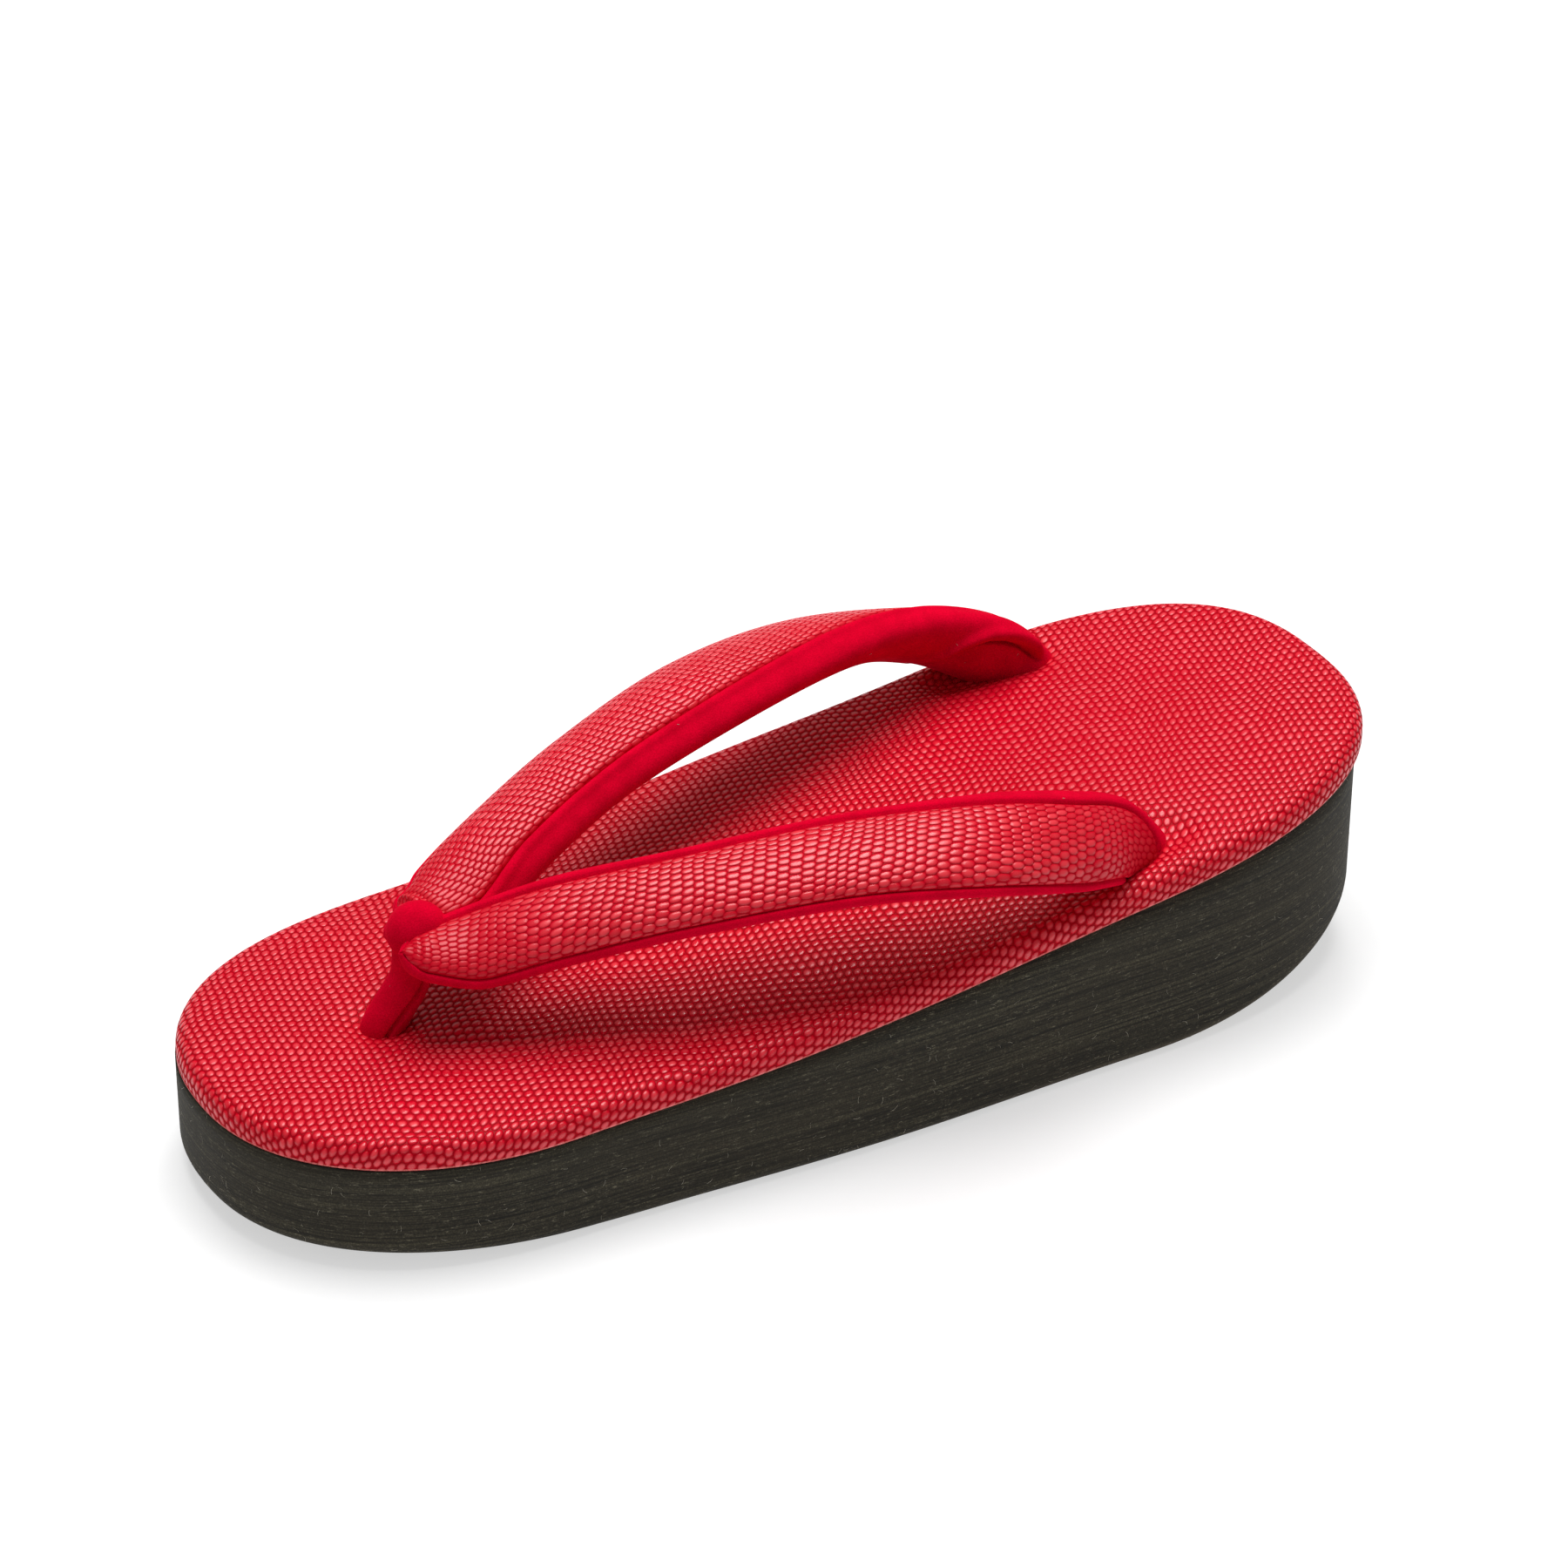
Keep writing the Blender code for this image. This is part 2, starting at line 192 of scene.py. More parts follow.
# Dents in the padded top, from one place to another, faded out at its edge: round the hole and along the
# strap's slots
DENTS = [
    {"x": 0.0, "from_toe": 36.4 * MM, "to_x": 0.0, "to_toe": 37.6 * MM, "deep": 1.3 * MM,
     "reach": 6.3 * MM},
    {"x": 37.0 * MM, "from_toe": 165.0 * MM, "to_x": 33.2 * MM, "to_toe": 182.5 * MM, "deep": 1.7 * MM,
     "reach": 4.9 * MM},
    {"x": -36.0 * MM, "from_toe": 177.0 * MM, "to_x": -32.5 * MM, "to_toe": 192.0 * MM, "deep": 1.8 * MM,
     "reach": 5.4 * MM},
]
DENTS_FADE = 0.08

# The embossed cells: pitches and half sizes in millimetres, the turn of their rows in degrees, the lean and
# skew of each row, how square the cells are, how peaked their tops are, and the depth of the valleys
TOP_CELLS = {
    "along": 1.84, "across": 1.66, "half_long": 0.87, "half_wide": 0.90, "turn": 9, "lean": 0.274,
    "skew": 0.0, "square": 2.1, "peak": 0.7, "depth": 0.36 * MM,
}
STRAP_CELLS = {
    "along": 1.52, "across": 2.15, "half_long": 0.76, "half_wide": 1.26, "turn": 90, "lean": 0.0,
    "skew": -0.30, "square": 2.3, "peak": 0.6, "depth": 0.32 * MM,
}

# The leather's cells lie closer over the strap's front, up to this place in ARM, and their rows are closer
# on the wearer's right arm
STRAP_FRONT = 3.0
FRONT_CLOSER = 0.5
ROWS_CLOSER = {1: 1.0, -1: 1.2}

# The leather's cells are flatter beside the seams, over the front and over the rear ends
SEAM_RELIEF = {"least": 0.35, "width": 2.2 * MM}
FRONT_FLATTER = 0.7
REAR_FLATTER = {"from": 6.2, "long": 2.0, "less": 0.7}

# Fineness
OUTLINE_POINTS = 400
SOLE_FACE_RINGS = 24
SOLE_EDGE_RINGS = 8
SOLE_SIDE_RINGS = 7
PAD_EDGE_RINGS = 12
PAD_RINGS = 130
ARM_STEPS = 30
ARM_POINTS = 144
NECK_RINGS = 23
NECK_POINTS = 32
LEATHER_POINTS = 72
LOOP_RINGS = 41
LOOP_POINTS = 48
CAP_RINGS = 25
LOOP_VOXEL = 0.22 * MM
LOOP_SOFTENING = 10


# Sums on the sockets of a material


class Sum:
    """A number that changes over a surface, with the operators that the finishes use."""

    def __init__(self, finish, socket):
        self.finish = finish
        self.socket = socket

    def math(self, operation, *others):
        return self.finish.math(operation, self, *others)

    def __add__(self, other):
        return self.math("ADD", other)

    def __radd__(self, other):
        return self.finish.math("ADD", other, self)

    def __sub__(self, other):
        return self.math("SUBTRACT", other)

    def __rsub__(self, other):
        return self.finish.math("SUBTRACT", other, self)

    def __mul__(self, other):
        return self.math("MULTIPLY", other)

    def __rmul__(self, other):
        return self.finish.math("MULTIPLY", other, self)

    def __truediv__(self, other):
        return self.math("DIVIDE", other)

    def __lt__(self, other):
        return self.math("LESS_THAN", other)


class Finish:
    """A material whose shader is a Principled BSDF, with short ways to make its nodes."""

    def __init__(self, name, **fixed):
        self.material = bpy.data.materials.new(name)
        self.material.use_nodes = True
        self.tree = self.material.node_tree
        self.shader = self.tree.nodes["Principled BSDF"]
        for socket, value in fixed.items():
            self.shader.inputs[socket.replace("_", " ")].default_value = value

    def feed(self, socket, value):
        if isinstance(value, Sum):
            value = value.socket
        if isinstance(value, bpy.types.NodeSocket):
            self.tree.links.new(value, socket)
        else:
            socket.default_value = value

    def node(self, kind, settings=None, inputs=None):
        made = self.tree.nodes.new("ShaderNode" + kind)
        for name, value in (settings or {}).items():
            setattr(made, name, value)
        for key, value in (inputs or {}).items():
            self.feed(made.inputs[key], value)
        return made

    def math(self, operation, *values):
        made = self.node("Math", {"operation": operation}, dict(enumerate(values)))
        return Sum(self, made.outputs[0])

    def range(self, value, low, high):
        """The value's place between low and high, eased at both ends."""
        settings = {"interpolation_type": "SMOOTHSTEP"}
        inputs = {"Value": value, "From Min": low, "From Max": high}
        return Sum(self, self.node("MapRange", settings, inputs).outputs[0])

    def mix(self, mask, first, second):
        """Colours mixed by a mask."""
        return self.node("Mix", {"data_type": "RGBA"}, {0: mask, 6: first, 7: second}).outputs[2]

    def noise(self, where, scale, detail=2.0, roughness=0.5):
        inputs = {"Vector": where, "Scale": scale, "Detail": detail, "Roughness": roughness}
        return Sum(self, self.node("TexNoise", None, inputs).outputs[0])

    def place(self, scale=(1, 1, 1)):
        """Object coordinates, scaled."""
        where = self.node("TexCoord").outputs["Object"]
        return self.node("Mapping", None, {"Vector": where, "Scale": scale}).outputs[0]

    def attribute(self, name):
        return Sum(self, self.node("Attribute", {"attribute_name": name}).outputs["Fac"])

    def bump(self, height, distance):
        inputs = {"Height": height, "Distance": distance, "Strength": 1.0}
        return self.node("Bump", None, inputs).outputs[0]

    def set(self, socket, value):
        self.feed(self.shader.inputs[socket], value)


def colour(red, green, blue):
    """A colour as it is named on screen, from 0 to 255, in the shader's own light."""
    share = [channel / 255 for channel in (red, green, blue)]
    return (*[c / 12.92 if c <= 0.04045 else ((c + 0.055) / 1.055) ** 2.4 for c in share], 1.0)


# Finishes


def embossed(name, cells):
    """Red leather-cloth embossed with rows of small raised cells. The UV map holds millimetres."""
    cloth = Finish(name, Specular_IOR_Level=0.55)
    where = cloth.place()
    uv = cloth.node("UVMap", {"uv_map": "cloth"}).outputs[0]
    wander = cloth.node("TexNoise", None, {"Vector": uv, "Scale": 0.055, "Detail": 1.0}).outputs["Color"]
    wander = cloth.node("VectorMath", {"operation": "SUBTRACT"}, {0: wander, 1: (0.5, 0.5, 0.5)}).outputs[0]
    wander = cloth.node("VectorMath", {"operation": "SCALE"}, {0: wander, "Scale": 4.0}).outputs[0]
    warped = cloth.node("VectorMath", {"operation": "ADD"}, {0: uv, 1: wander}).outputs[0]
    turn = (0, 0, math.radians(cells["turn"]))
    turned = cloth.node("Mapping", None, {"Vector": warped, "Rotation": turn}).outputs[0]
    split = cloth.node("SeparateXYZ", None, {0: turned})
    u = Sum(cloth, split.outputs[0]) + Sum(cloth, split.outputs[1]) * cells["lean"]
    v = Sum(cloth, split.outputs[1]) + Sum(cloth, split.outputs[0]) * cells["skew"]

    distances = []
    names = []
    for shift in (0.0, 0.5):
        column = u / cells["along"] + shift
        row = v / (2 * cells["across"]) + shift
        near_column = column.math("ROUND")
        near_row = row.math("ROUND")
        beside = (column - near_column).math("ABSOLUTE") * (cells["along"] / cells["half_long"])
        above = (row - near_row).math("ABSOLUTE") * (2 * cells["across"] / cells["half_wide"])
        distances.append(beside.math("POWER", cells["square"]) + above.math("POWER", cells["square"]))
        names.append((near_column + shift, near_row + shift))
    second = distances[1] < distances[0]
    distance = distances[0].math("MINIMUM", distances[1])
    cell = cloth.node("CombineXYZ", None, {
        0: names[0][0] + second * (names[1][0] - names[0][0]),
        1: names[0][1] + second * (names[1][1] - names[0][1]),
    }).outputs[0]
    chance = cloth.node("TexWhiteNoise", {"noise_dimensions": "2D"}, {"Vector": cell})
    luck = Sum(cloth, chance.outputs["Value"])

    relief = cloth.attribute("relief")
    dome = (1.0 - distance.math("MINIMUM", 1.0)).math("POWER", cells["peak"]) * (0.8 + 0.3 * luck)
    grain = cloth.noise(where, 5200, 3.0)
    # Where the valleys between the cells lie, for the painted shade in them
    valley_shade = cloth.range(distance, 0.55, 1.25)
    # The cells' tops, for a painted highlight that also stands for wear on the raised cells
    highlight_and_wear = cloth.range(dome, 0.62, 0.98)
    patches = cloth.noise(where, 60, 3.0)

    body = cloth.mix(patches, colour(197, 2, 28), colour(212, 8, 39))
    body = cloth.mix((1.0 - relief) * 0.6, body, colour(166, 6, 28))
    # Painted highlight: paler pink on the cells' tops, on some cells more than others; it also stands for
    # wear on the raised cells
    body = cloth.mix(highlight_and_wear * relief * (0.2 + 0.4 * luck), body, colour(238, 62, 72))
    # Painted shade: the valleys between the cells darkened, the more so where the cells stand higher
    body = cloth.mix(valley_shade * (0.55 + 0.35 * relief), body, colour(152, 0, 13))
    # Pale pink, in patches, over the pad's lower edge, where the attribute cut is set
    pale_edge = cloth.attribute("cut") * (0.25 + 0.6 * patches)
    body = cloth.mix(pale_edge, body, colour(232, 134, 128))
    bump = cloth.bump(dome * relief + 0.04 * grain, cells["depth"])
    cloth.set("Base Color", body)
    cloth.set("Roughness", 0.25 + 0.12 * luck + 0.12 * (grain - 0.5))
    cloth.set("Normal", bump)
    matte = cloth.node("BsdfPrincipled", None, {
        "Base Color": body, "Roughness": 0.8, "Specular IOR Level": 0.0, "Normal": bump,
    })
    shine = (0.1 + 0.9 * cloth.range(dome, 0.3, 0.8)) * (0.15 + 0.85 * relief)
    both = cloth.node("MixShader", None, {0: shine, 1: matte.outputs[0], 2: cloth.shader.outputs[0]})
    cloth.feed(cloth.tree.nodes["Material Output"].inputs["Surface"], both.outputs[0])
    return cloth


def velvet():
    """Crimson velvet: a short nap that is brighter at grazing angles."""
    cloth = Finish(
        "crimson velvet", Roughness=0.95, Specular_IOR_Level=0.02,
        Sheen_Weight=0.35, Sheen_Roughness=0.4, Sheen_Tint=colour(255, 10, 60),
    )
    where = cloth.place()
    brushed = cloth.noise(where, 210, 4.0, 0.6)
    nap = cloth.noise(where, 3600, 2.0)
    deep = cloth.mix(cloth.range(brushed, 0.3, 0.7), colour(198, 0, 36), colour(216, 0, 42))
    cloth.set("Base Color", cloth.mix(cloth.range(nap, 0.35, 0.65) * 0.35, deep, colour(150, 0, 20)))
    cloth.set("Normal", cloth.bump(0.7 * nap + 0.5 * brushed, 0.12 * MM))
    return cloth


def foam():
    """Charcoal foam: sawn level, so it has fine level streaks, with open pores and a ribbed underside."""
    body = Finish("dark foam", Specular_IOR_Level=0.22)
    streaks = body.noise(body.place(scale=(34, 34, 3600)), 1.0, 4.0, 0.65)
    long_streaks = body.noise(body.place(scale=(7, 7, 900)), 1.0, 3.0, 0.6)
    pores = body.noise(body.place(), 3400, 2.0)
    dust = body.noise(body.place(scale=(500, 500, 2600)), 1.0, 3.0, 0.7)
    clouds = body.noise(body.place(), 24, 3.0)
    tone = body.mix(body.range(streaks, 0.34, 0.66), colour(20, 17, 10), colour(66, 61, 48))
    tone = body.mix(body.range(long_streaks, 0.53, 0.68) * 0.6, tone, colour(84, 79, 62))
    tone = body.mix(body.range(dust, 0.56, 0.7) * 0.6, tone, colour(128, 122, 102))
    tone = body.mix(body.range(pores, 0.6, 0.42) * 0.55, tone, colour(14, 13, 9))
    tone = body.mix(body.range(clouds, 0.45, 0.7) * 0.3, tone, colour(48, 42, 31))
    tone = body.mix(body.attribute("worn") * 0.55, tone, colour(92, 80, 62))
    body.set("Base Color", tone)
    body.set("Roughness", 0.66 + 0.2 * streaks)
    lengthwise = Sum(body, body.node("SeparateXYZ", None, {0: body.place()}).outputs[1])
    ribs_apart = 4 * MM
    ribs = (lengthwise * (2 * math.pi / ribs_apart)).math("SINE") * body.attribute("tread")
    height = 0.5 * streaks + 0.35 * pores + 1.5 * ribs
    body.set("Normal", body.bump(height, 0.16 * MM))
    return body


def lint():
    """Pale lint, the hairs and dust that foam and velvet pick up."""
    fluff = Finish("pale lint", Roughness=0.9, Specular_IOR_Level=0.1)
    patches = fluff.noise(fluff.place(), 900, 2.0)
    fluff.set("Base Color", fluff.mix(patches, colour(120, 116, 102), colour(214, 206, 190)))
    return fluff


# Forms that the sandal's pieces share


def column(rows, name):
    """One column of a table."""
    return np.array([row[name] for row in rows], float)


def smooth(knots, values, at):
    """A cubic curve through the knots, its slopes taken from each knot's neighbours."""
    slopes = np.gradient(values, knots)
    index = np.clip(np.searchsorted(knots, at, side="right") - 1, 0, len(knots) - 2)
    span = knots[index + 1] - knots[index]
    t = (at - knots[index]) / span
    start = (1 + 2 * t) * (1 - t) ** 2 * values[index] + t * (1 - t) ** 2 * span * slopes[index]
    end = t * t * (3 - 2 * t) * values[index + 1] + t * t * (t - 1) * span * slopes[index + 1]
    return start + end


def half_width(from_toe):
    """Half the width of the sole: a rounded toe and heel with slightly bellied sides between them."""
    straight = np.clip((from_toe - TOE_REACH) / (LENGTH - TOE_REACH - HEEL_REACH), 0, 1)
    blend = straight**2 * (3 - 2 * straight)
    width = (FORE_WIDTH + (HEEL_WIDTH - FORE_WIDTH) * blend) / 2
    width = width + BELLY * np.sin(math.pi * straight) ** 2
    toe = np.clip(1 - from_toe / TOE_REACH, 0, 1)
    heel = np.clip(1 - (LENGTH - from_toe) / HEEL_REACH, 0, 1)
    toe_share = (1 - toe**TOE_POWER) ** (1 / TOE_POWER)
    heel_share = (1 - heel**HEEL_POWER) ** (1 / HEEL_POWER)
    return width * toe_share * heel_share


def outline():
    """Evenly spaced points of the sole's outline and their outward directions, from the toe."""
    turn = np.linspace(0, math.pi, 2400)
    from_toe = LENGTH / 2 * (1 - np.cos(turn))
    x = np.concatenate([half_width(from_toe), -half_width(from_toe)[-2::-1]])
    y = np.concatenate([from_toe, from_toe[-2::-1]]) - LENGTH / 2
    run = np.concatenate([[0], np.cumsum(np.hypot(np.diff(x), np.diff(y)))])
    even = np.linspace(0, run[-1], OUTLINE_POINTS + 1)[:-1]
    points = np.stack([np.interp(even, run, x), np.interp(even, run, y)], 1)
    along = np.roll(points, -1, 0) - np.roll(points, 1, 0)
    along /= np.linalg.norm(along, axis=1, keepdims=True)
    return points, np.stack([along[:, 1], -along[:, 0]], 1)


OUTLINE, OUTWARD = outline()


def rim_height(y):
    """Height of the sole's upper face."""
    from_toe = np.clip(y + LENGTH / 2, 0, LENGTH)
    rise = smooth(column(WEDGE, "along") * LENGTH, column(WEDGE, "rise"), from_toe)
    spring = np.clip(1 - from_toe / TOE_LIFT_LENGTH, 0, 1) ** 2 * TOE_SPRING
    return FORE_HEIGHT + rise * (HEEL_HEIGHT - FORE_HEIGHT) + spring


def underside_height(y):
    """Height of the sole's underside: flat on the floor between the toe's lift and the heel's."""
    from_toe = np.clip(y + LENGTH / 2, 0, LENGTH)
    to_toe = np.clip(from_toe / TOE_LIFT_LENGTH, 0, 1)
    to_heel = np.clip((LENGTH - from_toe) / HEEL_LIFT_LENGTH, 0, 1)
    return TOE_LIFT * (1 - to_toe**2) ** 2 + HEEL_LIFT * (1 - to_heel) ** 2


def ring_at(inset, height):
    """The outline moved inwards, each point at the height for its place."""
    moved = OUTLINE - OUTWARD * np.reshape(inset, (-1, 1))
    return np.column_stack([moved, height(moved[:, 1])])


def ring_within(ring, share, height):
    """The ring drawn in towards the middle of the sandal."""
    moved = ring[:, :2] * share
    return np.column_stack([moved, height(moved[:, 1])])


def made(name, points, faces, finish, attributes=None, uv=None):
    """A smooth mesh object at the origin."""
    mesh = bpy.data.meshes.new(name)
    mesh.from_pydata(points.tolist(), [], faces)
    mesh.shade_smooth()
    mesh.materials.append(finish.material)
    if uv is not None:
        layer = mesh.uv_layers.new(name="cloth")
        corner = np.empty(len(mesh.loops), np.int32)
        mesh.loops.foreach_get("vertex_index", corner)
        layer.data.foreach_set("uv", uv[corner].astype(np.float32).ravel())
    for key, values in (attributes or {}).items():
        mesh.attributes.new(key, "FLOAT", "POINT").data.foreach_set("value", values.astype(np.float32))
    obj = bpy.data.objects.new(name, mesh)
    bpy.context.scene.collection.objects.link(obj)
    return obj


def skin(rings):
    """Points and outward faces of a closed body over rings of equal count, in order from end to end."""
    rings = np.asarray(rings)
    rows, count, _ = rings.shape
    points = np.concatenate([rings.reshape(-1, 3), rings[0].mean(0)[None], rings[-1].mean(0)[None]])
    index = np.arange(rows * count).reshape(rows, count)
    beside = np.roll(index, -1, 1)
    quads = np.stack([index[:-1], beside[:-1], beside[1:], index[1:]], -1).reshape(-1, 4)
    start = np.stack([beside[0], index[0], np.full(count, rows * count)], 1)
    end = np.stack([index[-1], beside[-1], np.full(count, rows * count + 1)], 1)
    corners = np.concatenate([quads[:, :3], quads[:, [0, 2, 3]], start, end])
    order = 1 if np.linalg.det(points[corners]).sum() > 0 else -1
    return points, [face for part in (quads, start, end) for face in part[:, ::order].tolist()]


def joined(bodies):
    """Points and faces of several closed bodies in one mesh."""
    points, faces = [], []
    start = 0
    for more_points, more_faces in bodies:
        points.append(more_points)
        faces += [[start + corner for corner in face] for face in more_faces]
        start += len(more_points)
    return np.concatenate(points), faces


def applied(obj):
    """The object with its modifiers made part of its mesh."""
    graph = bpy.context.evaluated_depsgraph_get()
    mesh = bpy.data.meshes.new_from_object(obj.evaluated_get(graph))
    obj.modifiers.clear()
    obj.data = mesh
    return obj


def finished(obj, slot, *nodes):
    """Sets a piece in the model: it rides with the sandal, and any nodes that it stands for are hidden. Its
    slot is not used.
    """
    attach(obj, "root")
    if nodes:
        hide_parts(*nodes)
    return obj


# Camera, lights and floor


def look_from(azimuth, elevation, roll):
    """The right, up and back directions of a camera that looks at the sandal."""
    a, e, r = (math.radians(angle) for angle in (azimuth, elevation, roll))
    back = Vector((math.sin(a) * math.cos(e), -math.cos(a) * math.cos(e), math.sin(e)))
    level = Vector((0, 0, 1)).cross(back).normalized()
    upright = back.cross(level)
    right = level * math.cos(r) + upright * math.sin(r)
    return right, back.cross(right), back


def add_camera():
    """The photograph's view: a long lens from the wearer's left and in front, looking down."""
    frame_pixels = 1800
    focal_pixels = 6000
    distance = 0.97204
    target = Vector((0, 0.2 * MM, 30 * MM))
    target_pixel = (895.35, 1020.75)
    right, up, back = look_from(60.44, 31.25, 0.27)
    across = (target_pixel[0] - frame_pixels / 2) / focal_pixels * distance
    down = (target_pixel[1] - frame_pixels / 2) / focal_pixels * distance
    camera = bpy.data.cameras.new("camera")
    camera.sensor_width = 36
    camera.lens = focal_pixels / frame_pixels * camera.sensor_width
    camera.clip_start = 0.05
    obj = bpy.data.objects.new("camera", camera)
    bpy.context.scene.collection.objects.link(obj)
    place = target + back * distance - right * across + up * down
    obj.matrix_world = Matrix.Translation(place) @ Matrix((right, up, back)).transposed().to_4x4()
    bpy.context.scene.camera = obj


def add_light(name, azimuth, elevation, distance, size, power):
    """A soft square light that faces the sandal."""
    right, up, back = look_from(azimuth, elevation, 0)
    light = bpy.data.lights.new(name, "AREA")
    light.size = size
    light.energy = power
    obj = bpy.data.objects.new(name, light)
    bpy.context.scene.collection.objects.link(obj)
    target = Vector((0, 0, 30 * MM))
    facing = Matrix((right, up, back)).transposed().to_4x4()
    obj.matrix_world = Matrix.Translation(target + back * distance) @ facing


def add_studio():
    """White paper, a white sky, a broad light from behind and a small one that sparks the cells."""
    paper = Finish("white paper", Roughness=0.9, Specular_IOR_Level=0.1)
    fibres = paper.noise(paper.place(), 300, 2.0)
    paper.set("Base Color", paper.mix(fibres, colour(186, 186, 186), colour(190, 190, 190)))
    paper.shader.inputs["Emission Color"].default_value = (1, 1, 1, 1)
    paper.shader.inputs["Emission Strength"].default_value = 0.55
    reach = 6.0
    corners = np.array([[-reach, -reach, 0], [reach, -reach, 0], [reach, reach, 0], [-reach, reach, 0]])
    floor = made("floor", corners, [(0, 1, 2, 3)], paper)
    world = bpy.data.worlds.new("studio")
    world.use_nodes = True
    world.node_tree.nodes["Background"].inputs["Color"].default_value = (1, 1, 1, 1)
    world.node_tree.nodes["Background"].inputs["Strength"].default_value = 0.36
    bpy.context.scene.world = world
    bpy.context.scene.view_settings.view_transform = "Standard"
    add_light("key light", azimuth=-115, elevation=78, distance=1.0, size=0.7, power=11.5)
    add_light("spark light", azimuth=-128, elevation=52, distance=1.1, size=0.22, power=1.6)


# Sole


def make_sole(finish):
    """The wedge: its underside, its rounded lower edge, its side and its upper face, in rings."""
    floor = ring_at(SOLE_EDGE_RADIUS, underside_height)
    shares = np.linspace(0.04, 0.98, SOLE_FACE_RINGS)
    rings = [ring_within(floor, share, underside_height) for share in shares]
    marks = [{"tread": 1.0, "side": 0.0, "worn": 0.0}] * len(rings)
    for angle in np.radians(np.linspace(0, 90, SOLE_EDGE_RINGS)):
        inset = SOLE_EDGE_RADIUS * (1 - math.sin(angle))
        lift = SOLE_EDGE_RADIUS * (1 - math.cos(angle))
        rings.append(ring_at(inset, lambda y: underside_height(y) + lift))
        marks.append({"tread": math.cos(angle), "side": math.sin(angle), "worn": math.cos(angle)})
    edge = rings[-1]
    top = ring_at(0, rim_height)
    for share in np.linspace(0, 1, SOLE_SIDE_RINGS)[1:]:
        rings.append(edge + (top - edge) * share)
        marks.append({"tread": 0.0, "side": 1.0 - 0.5 * share, "worn": 0.0})
    rings += [ring_within(top, share, rim_height) for share in shares[::-1]]
    marks += [{"tread": 0.0, "side": 0.0, "worn": 0.0}] * len(shares)
    points, faces = skin(rings)
    attributes = {}
    for name in marks[0]:
        ends = [marks[0][name], marks[-1][name]]
        attributes[name] = np.concatenate([np.repeat(column(marks, name), OUTLINE_POINTS), ends])
    attributes["worn"] = attributes["worn"] * np.clip(points[:, 1] / WORN_FROM_MIDDLE, 0, 1)
    ribbed = np.abs(points[:, 0]) < TREAD_SHARE * half_width(points[:, 1] + LENGTH / 2)
    attributes["tread"] = attributes["tread"] * ribbed
    return made("Sole", points, faces, finish, attributes)


# Padded top


def pad_height(rise):
    """The height of a ring of the pad, which rises by rise over the sole."""
    return lambda y: rim_height(y) + GAP + rise


def make_padded_top(finish):
    """The pad over the sole, with its cloth laid flat on top and wrapped down over the edge."""
    side = TOE_INSET - (TOE_INSET + HEEL_OVERHANG) * (OUTLINE[:, 1] / LENGTH + 0.5)
    bend = PAD_EDGE_RADIUS * math.pi / 2
    rows = [{"wrap": PAD_SIDE + bend, "cut": 1.0}] * 3
    base = ring_at(side, pad_height(0))
    rings = [ring_within(base, share, pad_height(0)) for share in (0.2, 0.6, 0.9)]
    for share in (0, 0.16, 0.24, 0.5, 0.75, 1):
        rings.append(ring_at(side, pad_height(PAD_SIDE * share)))
        rows.append({"wrap": PAD_SIDE * (1 - share) + bend, "cut": float(share < 0.2)})
    crown_slope = math.degrees(math.atan(4 * PAD_CROWN / HEEL_WIDTH))
    for angle in np.radians(np.linspace(0, 90 - crown_slope, PAD_EDGE_RINGS)[1:]):
        inset = side + PAD_EDGE_RADIUS * (1 - math.cos(angle))
        rings.append(ring_at(inset, pad_height(PAD_SIDE + PAD_EDGE_RADIUS * math.sin(angle))))
        rows.append({"wrap": PAD_EDGE_RADIUS * (math.pi / 2 - angle), "cut": 0.0})
    shoulder = rings[-1]
    for share in np.linspace(1, 0.01, PAD_RINGS)[1:]:
        rise = PAD_SIDE + PAD_EDGE_RADIUS + PAD_CROWN * (1 - share**2)
        ring = ring_within(shoulder, share, pad_height(rise))
        for dent in DENTS:
            start = np.array([dent["x"], dent["from_toe"] - LENGTH / 2])
            run = np.array([dent["to_x"], dent["to_toe"] - LENGTH / 2]) - start
            along = np.clip((ring[:, :2] - start) @ run / (run @ run), 0, 1)[:, None]
            away = np.linalg.norm(ring[:, :2] - start - along * run, axis=1)
            from_edge = min(1, (1 - share) / DENTS_FADE)
            ring[:, 2] -= dent["deep"] * np.exp(-((away / dent["reach"]) ** 3)) * from_edge
        rings.append(ring)
        rows.append({"wrap": 0.0, "cut": 0.0})
    points, faces = skin(rings)
    flat = np.array(rings)[:, :, :2]
    wrap = column(rows, "wrap")[:, None, None]
    flat = np.where(wrap > 0, shoulder[:, :2] + OUTWARD * wrap, flat)
    flat = np.concatenate([flat.reshape(-1, 2), flat[0].mean(0)[None], flat[-1].mean(0)[None]])
    worn = np.exp(-((np.linalg.norm(flat - WORN_HEEL["middle"], axis=1) / WORN_HEEL["reach"]) ** 4))
    cut = np.concatenate([np.repeat(column(rows, "cut"), OUTLINE_POINTS), [1, 0]])
    attributes = {"relief": 1 - WORN_HEEL["less"] * worn, "cut": cut}
    return made("Padded_top", points, faces, finish, attributes, flat / MM)


# Strap


